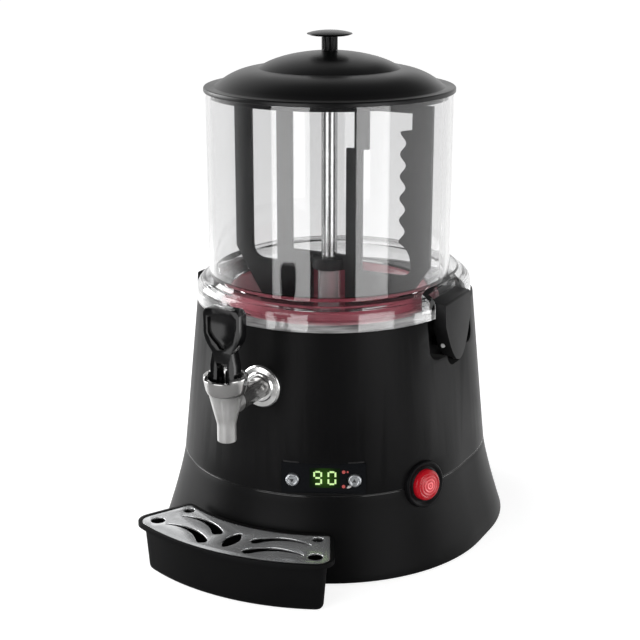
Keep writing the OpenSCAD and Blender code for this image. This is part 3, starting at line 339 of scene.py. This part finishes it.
finishes = {
    "body black": surface_finish(
        "satin body black", moulded_skin, (0.0028, 0.0028, 0.0030), (0.0045, 0.0045, 0.0048),
        rough=(0.36, 0.44), bump=0.12, gloss=0.06, sheen=0.09),
    "lid black": surface_finish(
        "lid black", moulded_skin, (0.0055, 0.0055, 0.0058), (0.0080, 0.0080, 0.0084),
        rough=(0.28, 0.36), bump=0.08, gloss=0.20),
    "paddle black": surface_finish(
        "paddle black", moulded_skin, (0.0110, 0.0110, 0.0114), (0.0160, 0.0160, 0.0165),
        rough=(0.42, 0.52), bump=0.12, gloss=0.25),
    "handle black": surface_finish(
        "handle gloss black", moulded_skin, (0.0030, 0.0030, 0.0033), (0.0048, 0.0048, 0.0051),
        rough=(0.10, 0.18), bump=0.05, coat=0.25, gloss=0.08),
    "knob black": surface_finish(
        "knob black", moulded_skin, (0.0045, 0.0045, 0.0048), (0.0070, 0.0070, 0.0074),
        rough=(0.24, 0.32), bump=0.06, coat=0.08, gloss=0.10),
    "latch black": surface_finish(
        "latch black", moulded_skin, (0.0040, 0.0040, 0.0043), (0.0065, 0.0065, 0.0068),
        rough=(0.40, 0.50), bump=0.14, gloss=0.10, sheen=0.02),
    "tray black": surface_finish(
        "tray black", moulded_skin, (0.0035, 0.0035, 0.0038), (0.0055, 0.0055, 0.0058),
        rough=(0.34, 0.44), bump=0.12, gloss=0.07),
    "panel film": surface_finish(
        "panel film", moulded_skin, (0.0045, 0.0050, 0.0060), (0.0065, 0.0070, 0.0080),
        rough=(0.18, 0.26), bump=0.03, gloss=0.05),
    "bezel black": surface_finish(
        "bezel black", moulded_skin, (0.0035, 0.0035, 0.0040), (0.0055, 0.0055, 0.0060),
        rough=(0.24, 0.34), bump=0.08, gloss=0.05),
    "mark black": surface_finish(
        "mark black", moulded_skin, (0.02, 0.02, 0.022), (0.03, 0.03, 0.032), rough=(0.35, 0.45), bump=0.05),
    "mark pale": surface_finish(
        "mark pale", moulded_skin, (0.40, 0.38, 0.37), (0.50, 0.48, 0.47), rough=(0.35, 0.45), bump=0.05),
    "tap metal": surface_finish(
        "satin tap metal", cast_skin, (0.46, 0.455, 0.45), (0.58, 0.575, 0.57),
        rough=(0.34, 0.44), bump=0.08, metal=0.85),
    "rosette metal": surface_finish(
        "rosette metal", drawn_lines, (0.78, 0.775, 0.77), (0.90, 0.895, 0.89),
        rough=(0.16, 0.26), bump=0.05, metal=1.0),
    "shaft steel": surface_finish(
        "turned shaft steel", drawn_lines, (0.44, 0.44, 0.44), (0.55, 0.55, 0.55),
        rough=(0.16, 0.26), bump=0.04, metal=1.0),
    "tower steel": surface_finish(
        "turned tower steel", drawn_lines, (0.62, 0.62, 0.62), (0.74, 0.74, 0.74),
        rough=(0.14, 0.22), bump=0.04, metal=0.72),
    "inner steel": surface_finish(
        "inner steel", drawn_lines, (0.45, 0.45, 0.46), (0.58, 0.58, 0.59),
        rough=(0.30, 0.44), bump=0.06, metal=1.0),
    "screw zinc": surface_finish(
        "screw zinc", cast_skin, (0.48, 0.49, 0.50), (0.60, 0.60, 0.58),
        rough=(0.28, 0.40), bump=0.05, metal=1.0),
    "grid metal": surface_finish(
        "grid metal", cast_skin, (0.86, 0.87, 0.88), (0.92, 0.93, 0.94),
        rough=(0.20, 0.28), bump=0.03, metal=0.85),
    "pin bright": surface_finish(
        "bright pin", drawn_lines, (0.62, 0.62, 0.62), (0.74, 0.74, 0.74),
        rough=(0.30, 0.40), bump=0.04, metal=0.25),
    "button silver": surface_finish(
        "button silver", drawn_lines, (0.46, 0.48, 0.50), (0.60, 0.62, 0.64),
        rough=(0.24, 0.34), bump=0.05, metal=0.9),
    "bowl crimson": surface_finish(
        "bowl crimson", cast_skin, (0.22, 0.050, 0.068), (0.30, 0.066, 0.090),
        rough=(0.30, 0.42), bump=0.06, coat=0.2),
    "seal crimson": surface_finish(
        "seal crimson", moulded_skin, (0.30, 0.038, 0.065), (0.36, 0.048, 0.080), rough=(0.45, 0.55)),
    "rubber": surface_finish(
        "foot rubber", moulded_skin, (0.012, 0.012, 0.012), (0.020, 0.020, 0.019),
        rough=(0.70, 0.85), bump=0.25),
    "plate coat": surface_finish(
        "plate powder coat", cast_skin, (0.014, 0.014, 0.015), (0.022, 0.022, 0.023),
        rough=(0.50, 0.62), bump=0.15),
    "motor case": surface_finish(
        "motor casting", cast_skin, (0.42, 0.43, 0.44), (0.54, 0.55, 0.56),
        rough=(0.38, 0.50), bump=0.15, metal=0.9),
    "board lacquer": surface_finish(
        "board lacquer", cast_skin, (0.010, 0.09, 0.03), (0.016, 0.13, 0.045), rough=(0.25, 0.35), bump=0.08),
    "display glass": lit_finish(
        "display glass", (0.003, 0.006, 0.002), (0.004, 0.009, 0.003),
        strength=1.0, rough=(0.12, 0.22), gloss=0.08),
    "figure glow": lit_finish(
        "figure glow", (0.32, 0.42, 0.20), (0.38, 0.47, 0.24), strength=0.58, rough=(0.30, 0.40)),
    "lamp red": lit_finish(
        "lamp red", (0.16, 0.012, 0.012), (0.20, 0.016, 0.014), strength=0.4, rough=(0.25, 0.35)),
    "switch red": lit_finish(
        "switch red", (0.24, 0.003, 0.006), (0.30, 0.004, 0.008),
        strength=1.0, rough=(0.16, 0.26), gloss=0.3),
    "clear": clear_finish(),
}

worn_by = {
    "body black": ["base_skirt", "body_cover"],
    "lid black": ["lid_shell"],
    "knob black": ["lid_knob"],
    "paddle black": ["stirring_paddle"],
    "handle black": ["tap_handle", "tap_bonnet"],
    "latch black": ["latch_right", "latch_left"],
    "tray black": ["drip_tray"],
    "panel film": ["control_panel"],
    "bezel black": ["switch_bezel", "power_inlet"],
    "tap metal": ["tap_body"],
    "rosette metal": ["tap_escutcheon"],
    "shaft steel": ["drive_shaft", "tap_stem", "tap_pins"],
    "tower steel": ["bearing_tower"],
    "pin bright": ["latch_pin_right", "latch_pin_left"],
    "inner steel": ["heater_ring", "temperature_probe", "tower_nut", "motor_stand", "outlet_pipe",
                    "motor_output", "shaft_coupling", "tap_nut"],
    "screw zinc": ["base_screws", "motor_screws", "lid_screw", "paddle_screw"],
    "grid metal": ["tray_grid"],
    "button silver": ["button_down", "button_up"],
    "bowl crimson": ["heating_bowl"],
    "seal crimson": ["tank_seal"],
    "rubber": ["rubber_feet", "tap_gasket", "tap_plug"],
    "plate coat": ["base_plate"],
    "motor case": ["gear_motor"],
    "board lacquer": ["control_board"],
    "display glass": ["display_window"],
    "figure glow": ["display_segments"],
    "lamp red": ["indicator_leds"],
    "switch red": ["power_button"],
    "clear": ["tank"],
}


def wear(piece, finish):
    piece.data.materials.clear()
    piece.data.materials.append(finishes[finish])


for finish, names in worn_by.items():
    for name in names:
        wear(nodes[name], finish)


# The polished collar and neck of the tap, with painted dark reflection in their colour

TAP_COLLAR_H = 0.016
TAP_COLLAR_R = 0.019
TAP_STEP = 0.0006
POLISHED_PAINTED_DARK_COLOUR = (0.36, 0.355, 0.35, 1.0)
POLISHED_ROUGHNESS = 0.35


def polish_tap(material):
    """Polishes the collar and the neck of the tap, paints them darker as painted dark reflection, and leaves
    the nozzle satin.
    """
    low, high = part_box("tap_body")
    collar_z = high.z - TAP_COLLAR_H
    neck_y = low.y + 1.85 * TAP_COLLAR_R
    tree = material.node_tree
    shader = shader_of(material)
    _, along, height = split(tree, object_place(tree, (-1100, 600)), (-900, 600))
    collar = spread_value(tree, height, 0.0, 1.0, (-600, 700), collar_z - TAP_STEP, collar_z)
    neck = spread_value(tree, along, 0.0, 1.0, (-600, 450), neck_y, neck_y + TAP_STEP)
    polished_painted_dark = work_out(tree, "MAXIMUM", collar, neck, (-300, 600))
    satin_colour = shader.inputs["Base Color"].links[0].from_socket
    # Painted dark reflection: the polished collar and neck get a darker colour than the satin nozzle.
    colours = add_node(tree, "ShaderNodeMix", (100, 500), data_type="RGBA")
    colours.inputs["B"].default_value = POLISHED_PAINTED_DARK_COLOUR
    link(tree, polished_painted_dark, colours.inputs["Factor"])
    link(tree, satin_colour, colours.inputs["A"])
    link(tree, colours.outputs["Result"], shader.inputs["Base Color"])
    satin_roughness = shader.inputs["Roughness"].links[0].from_socket
    share = spread_value(tree, polished_painted_dark, 1.0, POLISHED_ROUGHNESS, (-100, 300), 0.0, 1.0)
    link(tree, work_out(tree, "MULTIPLY", satin_roughness, share, (100, 250)), shader.inputs["Roughness"])


polish_tap(finishes["tap metal"])


# Parts whose handled edges are softened

MERGE_GAP = 0.00001
FLAT_ANGLE = math.radians(0.5)
SHARP_ANGLE = math.radians(35.0)

body_of_node = {}
for body, names in frame["record"]["behaviour"]["bodies"].items():
    for name in names:
        body_of_node[name] = body


def only(piece):
    bpy.ops.object.select_all(action="DESELECT")
    piece.select_set(True)
    bpy.context.view_layer.objects.active = piece


def soften(name, width, crease=40.0, domed=False):
    """A merged copy of a part with rounded edges, standing for the part. A dome keeps its facets."""
    only(nodes[name])
    bpy.ops.object.duplicate()
    piece = bpy.context.view_layer.objects.active
    piece.name = name + "_softened"
    bpy.ops.object.mode_set(mode="EDIT")
    bpy.ops.mesh.select_all(action="SELECT")
    bpy.ops.mesh.remove_doubles(threshold=MERGE_GAP)
    bpy.ops.mesh.customdata_custom_splitnormals_clear()
    if not domed:
        bpy.ops.mesh.dissolve_limited(angle_limit=FLAT_ANGLE)
    bpy.ops.object.mode_set(mode="OBJECT")
    rounding = piece.modifiers.new("rounded edges", "BEVEL")
    rounding.width = width
    rounding.segments = 3
    rounding.limit_method = "ANGLE"
    rounding.angle_limit = SHARP_ANGLE
    bpy.ops.object.modifier_apply(modifier=rounding.name)
    bpy.ops.object.shade_smooth_by_angle(angle=math.radians(crease))
    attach(piece, body_of_node[name])
    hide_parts(name)


softened_edges = {
    "tap_handle": 0.0012,
    "latch_right": 0.0010,
    "latch_left": 0.0010,
    "drip_tray": 0.0008,
    "lid_knob": 0.0005,
    "tap_body": 0.0003,
    "tap_escutcheon": 0.0006,
    "stirring_paddle": 0.0008,
    "tray_grid": 0.0003,
    "body_cover": 0.0006,
    "base_skirt": 0.0005,
    "switch_bezel": 0.0004,
    "power_button": 0.0003,
    "button_down": 0.0002,
    "button_up": 0.0002,
}
for name, width in softened_edges.items():
    soften(name, width)
soften("lid_shell", 0.0006, crease=20.0, domed=True)


# Ways the panel and the switch face

COVER_TILT = math.radians(5.79)
PANEL_TURN = math.radians(25.0)
SWITCH_TURN = math.radians(65.0)


def outward(turn):
    """The way a part faces that is set square on the cover, at a turn from the front towards the right."""
    level = math.cos(COVER_TILT)
    return Vector((math.sin(turn) * level, -math.cos(turn) * level, math.sin(COVER_TILT)))


panel_out = outward(PANEL_TURN)
panel_right = Vector((math.cos(PANEL_TURN), math.sin(PANEL_TURN), 0.0))
panel_up = panel_out.cross(panel_right)


def front_of(name, out):
    """The point where the middle line of a part meets its front."""
    low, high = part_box(name)
    middle = (low + high) / 2
    reach = max(corner.co.dot(out) for corner in nodes[name].data.vertices)
    return middle + out * (reach - middle.dot(out))


# Glossy edges of the body

SEAM_Z = 0.0766
RECESS_TOP_Z = 0.1072
RECESS_NEAR = 0.022
RECESS_FAR = 0.036
EDGE_BAND = 0.0008


def gloss_edges(material):
    """Gives the edges of the body's seam and the ends of the recess's top edge a bright moulded gloss."""
    tree = material.node_tree
    recess_middle = front_of("control_panel", panel_out)
    recess_middle.z = RECESS_TOP_Z
    away, _ = near_point(tree, recess_middle, RECESS_FAR, (-500, 700))
    half_way = (RECESS_NEAR + RECESS_FAR) / 2
    beside = is_near(tree, away, half_way, (RECESS_FAR - RECESS_NEAR) / 2, (-300, 700))
    _, _, height = split(tree, object_place(tree, (-900, 1000)), (-700, 1000))
    seam = is_near(tree, height, SEAM_Z, EDGE_BAND, (-500, 1000))
    top = is_near(tree, height, RECESS_TOP_Z, EDGE_BAND, (-500, 800))
    recess = work_out(tree, "MULTIPLY", top, beside, (-100, 800))
    edges = work_out(tree, "MAXIMUM", seam, recess, (100, 900))
    link(tree, edges, shader_of(material).inputs["Coat Weight"])


gloss_edges(finishes["body black"])


# Glow of the display and the lamps, and painted highlight rings in the switch's glow

def glow_colour(material, amount, far, near):
    """Lets the glow of a lit finish go from one colour to another by an amount that changes over it."""
    tree = material.node_tree
    link(tree, mixed_colour(tree, amount, far, near, (0, -500)), shader_of(material).inputs["Emission Color"])


def fade_glow(material, point, reach, far, near):
    """A glow that is strongest round one point."""
    _, amount = near_point(material.node_tree, point, reach, (-300, -500))
    glow_colour(material, amount, far, near)


def paint_ring_highlights(material, point, reach, step, far, near):
    """Painted highlight rings in a glow, round one point, with painted darker colour away from it."""
    tree = material.node_tree
    distance, fade = near_point(tree, point, reach, (-500, -500))
    turns = work_out(tree, "MULTIPLY", distance, 2.0 * math.pi / step, (-500, -750))
    wave = add_node(tree, "ShaderNodeMath", (-350, -750), operation="COSINE")
    link(tree, turns, wave.inputs[0])
    rings = spread_value(tree, wave.outputs["Value"], 0.25, 1.0, (-200, -750), -0.2, 0.9)
    glow_colour(material, work_out(tree, "MULTIPLY", rings, fade, (-100, -500)), far, near)


fade_glow(finishes["display glass"], front_of("display_window", panel_out),
          reach=0.0125, far=(0.0, 0.001, 0.0), near=(0.022, 0.070, 0.004))
fade_glow(finishes["figure glow"], front_of("display_segments", panel_out),
          reach=0.016, far=(0.45, 0.85, 0.24), near=(0.72, 1.0, 0.46))
fade_glow(finishes["lamp red"], front_of("indicator_leds", panel_out),
          reach=0.012, far=(0.55, 0.10, 0.09), near=(0.75, 0.22, 0.20))
# The switch's glow carries painted highlight rings round one point and painted darker red away from it.
paint_ring_highlights(finishes["switch red"], front_of("power_button", outward(SWITCH_TURN)),
          reach=0.0105, step=0.0028, far=(0.12, 0.002, 0.005), near=(1.0, 0.28, 0.30))


# Printed marks of the panel and its buttons

MARK_RISE = 0.00012
TRIANGLE_R = 0.0022


def raised_mark(name, body, finish, corners, radius, place, turn=0.0, stretch=1.0):
    """A small printed mark with a soft edge: a flat figure, drawn up and lying on the panel or a button."""
    bpy.ops.object.select_all(action="DESELECT")
    bpy.ops.mesh.primitive_circle_add(vertices=corners, radius=radius, fill_type="NGON",
                                      location=(0.0, 0.0, 0.0))
    piece = bpy.context.view_layer.objects.active
    piece.name = name
    piece.scale = (stretch, 1.0, 1.0)
    bpy.ops.object.transform_apply(location=False, rotation=False, scale=True)
    bpy.ops.object.mode_set(mode="EDIT")
    bpy.ops.mesh.select_all(action="SELECT")
    bpy.ops.mesh.extrude_region_move(TRANSFORM_OT_translate={"value": (0.0, 0.0, MARK_RISE)})
    bpy.ops.mesh.select_all(action="SELECT")
    bpy.ops.mesh.normals_make_consistent(inside=False)
    bpy.ops.object.mode_set(mode="OBJECT")
    rounding = piece.modifiers.new("soft edge", "BEVEL")
    rounding.width = MARK_RISE * 0.4
    rounding.segments = 2
    bpy.ops.object.modifier_apply(modifier=rounding.name)
    lying = Matrix((panel_right, panel_up, panel_out)).transposed().to_4x4()
    piece.matrix_world = Matrix.Translation(place) @ lying @ Matrix.Rotation(turn, 4, "Z")
    bpy.context.view_layer.update()
    bpy.ops.object.transform_apply(location=True, rotation=True, scale=True)
    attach(piece, body)
    wear(piece, finish)


def on_panel(across, up):
    """A point on the front of the panel plate, from its middle."""
    sunk = panel_out * MARK_RISE / 2.0
    return front_of("control_panel", panel_out) + panel_right * across + panel_up * up - sunk


for button, turn in (("button_up", 0.0), ("button_down", math.pi)):
    place = front_of(button, panel_out) - panel_out * MARK_RISE * 2.0
    raised_mark(button + "_mark", button, "mark black", 3, TRIANGLE_R, place, turn)
raised_mark("panel_lamp_mark", "base", "lamp red", corners=12, radius=0.0009, place=on_panel(0.0213, 0.0058))
raised_mark("panel_pill_mark", "base", "mark pale", corners=16, radius=0.0011,
            place=on_panel(0.0227, -0.0080), turn=math.radians(25.0), stretch=2.0)


# Studio

CAMERA_SIDE = math.radians(27.0)
WALL_FADE = (-0.45, 0.4)
DARK_SIDE = math.radians(5.0)
FLOOR_FADE = (0.10, 0.50)


def fades_toward(tree, source, side, fade, place):
    """A value that falls from one to zero towards a level direction, given from the front to the right."""
    across, up = place
    unit = add_node(tree, "ShaderNodeVectorMath", (across - 400, up), operation="NORMALIZE")
    link(tree, source, unit.inputs[0])
    toward = add_node(tree, "ShaderNodeVectorMath", (across - 200, up), operation="DOT_PRODUCT")
    toward.inputs[1].default_value = (math.sin(side), -math.cos(side), 0.0)
    link(tree, unit.outputs["Vector"], toward.inputs[0])
    return spread_value(tree, toward.outputs["Value"], 1.0, 0.0, place, *fade)


def seen_white(tree, white):
    """One for the eye and straight through glass. Gloss sees the white only where it is said to be."""
    path = add_node(tree, "ShaderNodeLightPath", (-1100, -500))
    through = path.outputs["Is Transmission Ray"]
    unmirrored = work_out(tree, "LESS_THAN", path.outputs["Glossy Depth"], 0.5, (-900, -300))
    straight = work_out(tree, "MULTIPLY", through, unmirrored, (-700, -300))
    direct = work_out(tree, "MAXIMUM", path.outputs["Is Camera Ray"], straight, (-500, -300))
    bent = work_out(tree, "MAXIMUM", path.outputs["Is Glossy Ray"], through, (-900, -500))
    past = work_out(tree, "MULTIPLY", bent, white, (-700, -500))
    return work_out(tree, "MAXIMUM", direct, past, (-300, -500))


FLOOR_GREY = (0.44, 0.44, 0.44)
FLOOR_PALE = (0.46, 0.46, 0.46)
FLOOR_LEVEL = (0.80, 1.0)
FLOOR_REACH = (0.20, 0.40)


def floor_finish():
    """Pale floor with a soft shadow, white to the eye, through glass and, off its dark side, to gloss."""
    material = bpy.data.materials.new("pale floor")
    material.use_nodes = True
    tree = material.node_tree
    tree.nodes.clear()
    where = object_place(tree, (-900, 0))
    mottle = clouds(tree, where, 3.0, 2.0, (-500, 200))
    diffuse = add_node(tree, "ShaderNodeBsdfDiffuse", (0, 200))
    link(tree, mixed_colour(tree, mottle, FLOOR_GREY, FLOOR_PALE, (-250, 200)), diffuse.inputs["Color"])
    away = length_of(tree, where, (-700, -100))
    level = spread_value(tree, away, *FLOOR_LEVEL, (-450, -100), *FLOOR_REACH)
    white = fades_toward(tree, where, DARK_SIDE, FLOOR_FADE, (-900, -700))
    glow = add_node(tree, "ShaderNodeEmission", (0, -200))
    shown = work_out(tree, "MULTIPLY", level, seen_white(tree, white), (-200, -200))
    link(tree, shown, glow.inputs["Strength"])
    both = add_node(tree, "ShaderNodeAddShader", (250, 0))
    link(tree, diffuse.outputs["BSDF"], both.inputs[0])
    link(tree, glow.outputs["Emission"], both.inputs[1])
    output = add_node(tree, "ShaderNodeOutputMaterial", (450, 0))
    link(tree, both.outputs["Shader"], output.inputs["Surface"])
    return material


def make_floor():
    bpy.ops.object.select_all(action="DESELECT")
    bpy.ops.mesh.primitive_plane_add(size=40.0, location=(0.0, 0.0, 0.0))
    floor = bpy.context.view_layer.objects.active
    floor.name = "studio_floor"
    bpy.ops.object.mode_set(mode="EDIT")
    bpy.ops.mesh.subdivide(number_cuts=3)
    bpy.ops.object.mode_set(mode="OBJECT")
    floor.data.materials.append(floor_finish())


ROOM_LEVEL = (0.04, 0.16)
LOW_SKY = (0.30, 0.55)


def make_world():
    """White to the eye and through glass, and low behind the object to gloss. Otherwise a dim room."""
    world = bpy.data.worlds.new("studio surround")
    bpy.context.scene.world = world
    world.use_nodes = True
    tree = world.node_tree
    tree.nodes.clear()
    where = object_place(tree, (-1300, -150))
    behind = fades_toward(tree, where, CAMERA_SIDE, WALL_FADE, (-400, -150))
    room = spread_value(tree, behind, *ROOM_LEVEL, (-200, -150), 0.0, 1.0)
    _, _, height = split(tree, where, (-1100, -300))
    low_sky = spread_value(tree, height, 1.0, 0.0, (-900, -300), *LOW_SKY)
    white = work_out(tree, "MULTIPLY", behind, low_sky, (-200, -350))
    surround = add_node(tree, "ShaderNodeBackground", (200, 0))
    surround.inputs["Color"].default_value = (1.0, 1.0, 1.0, 1.0)
    strength = work_out(tree, "MAXIMUM", room, seen_white(tree, white), (0, 0))
    link(tree, strength, surround.inputs["Strength"])
    output = add_node(tree, "ShaderNodeOutputWorld", (400, 0))
    link(tree, surround.outputs["Background"], output.inputs["Surface"])


def softbox(name, place, aim, width, height, power):
    lamp = bpy.data.lights.new(name, "AREA")
    lamp.shape = "RECTANGLE"
    lamp.size = width
    lamp.size_y = height
    lamp.energy = power
    lamp_object = bpy.data.objects.new(name, lamp)
    bpy.context.scene.collection.objects.link(lamp_object)
    lamp_object.location = place
    toward = Vector(aim) - Vector(place)
    lamp_object.rotation_euler = toward.to_track_quat("-Z", "Y").to_euler()


def standing_strip(name, side, distance, low, high, width, brightness):
    """An upright lamp between two heights, at a side given from the front to the right, facing the tank."""
    turn = math.radians(side)
    height = high - low
    middle_z = (low + high) / 2
    place = (distance * math.sin(turn), AXIS_Y - distance * math.cos(turn), middle_z)
    softbox(name, place, (0.0, AXIS_Y, middle_z), width, height, brightness * math.pi * width * height)


LENS_MM = 79.1
CAMERA_MM = (584.3, -1146.7, 585.4)
CAMERA_TURN = (73.27, 0.0, 27.39)


def make_camera():
    camera = bpy.data.cameras.new("photo view")
    camera.sensor_width = 36.0
    camera.lens = LENS_MM
    camera.clip_start = 0.05
    seat = bpy.data.objects.new("photo view", camera)
    bpy.context.scene.collection.objects.link(seat)
    x, y, z = (value / 1000.0 for value in CAMERA_MM)
    seat.location = (x, y + AXIS_Y, z)
    seat.rotation_euler = tuple(math.radians(angle) for angle in CAMERA_TURN)
    bpy.context.scene.camera = seat


make_floor()
make_world()
standing_strip("left strip", side=-6.5, distance=0.72, low=0.02, high=0.55, width=0.44, brightness=4.0)
standing_strip("right strip", side=64.5, distance=0.72, low=0.02, high=0.55, width=0.38, brightness=4.0)
standing_strip("left low strip", side=-66.0, distance=0.50, low=0.02, high=0.13, width=0.24, brightness=7.5)
standing_strip("right low strip", side=110.0, distance=0.50, low=0.02, high=0.13, width=0.24, brightness=4.5)
standing_strip("left side box", side=-86.0, distance=1.2, low=0.28, high=1.15, width=0.90, brightness=6.5)
standing_strip("right side box", side=128.0, distance=1.3, low=0.30, high=1.05, width=0.80, brightness=0.8)
softbox("top box", place=(-0.8, 0.9, 1.3), aim=(0.0, AXIS_Y, 0.24), width=1.4, height=0.8, power=1.5)
make_camera()

bpy.context.scene.view_settings.view_transform = "Standard"
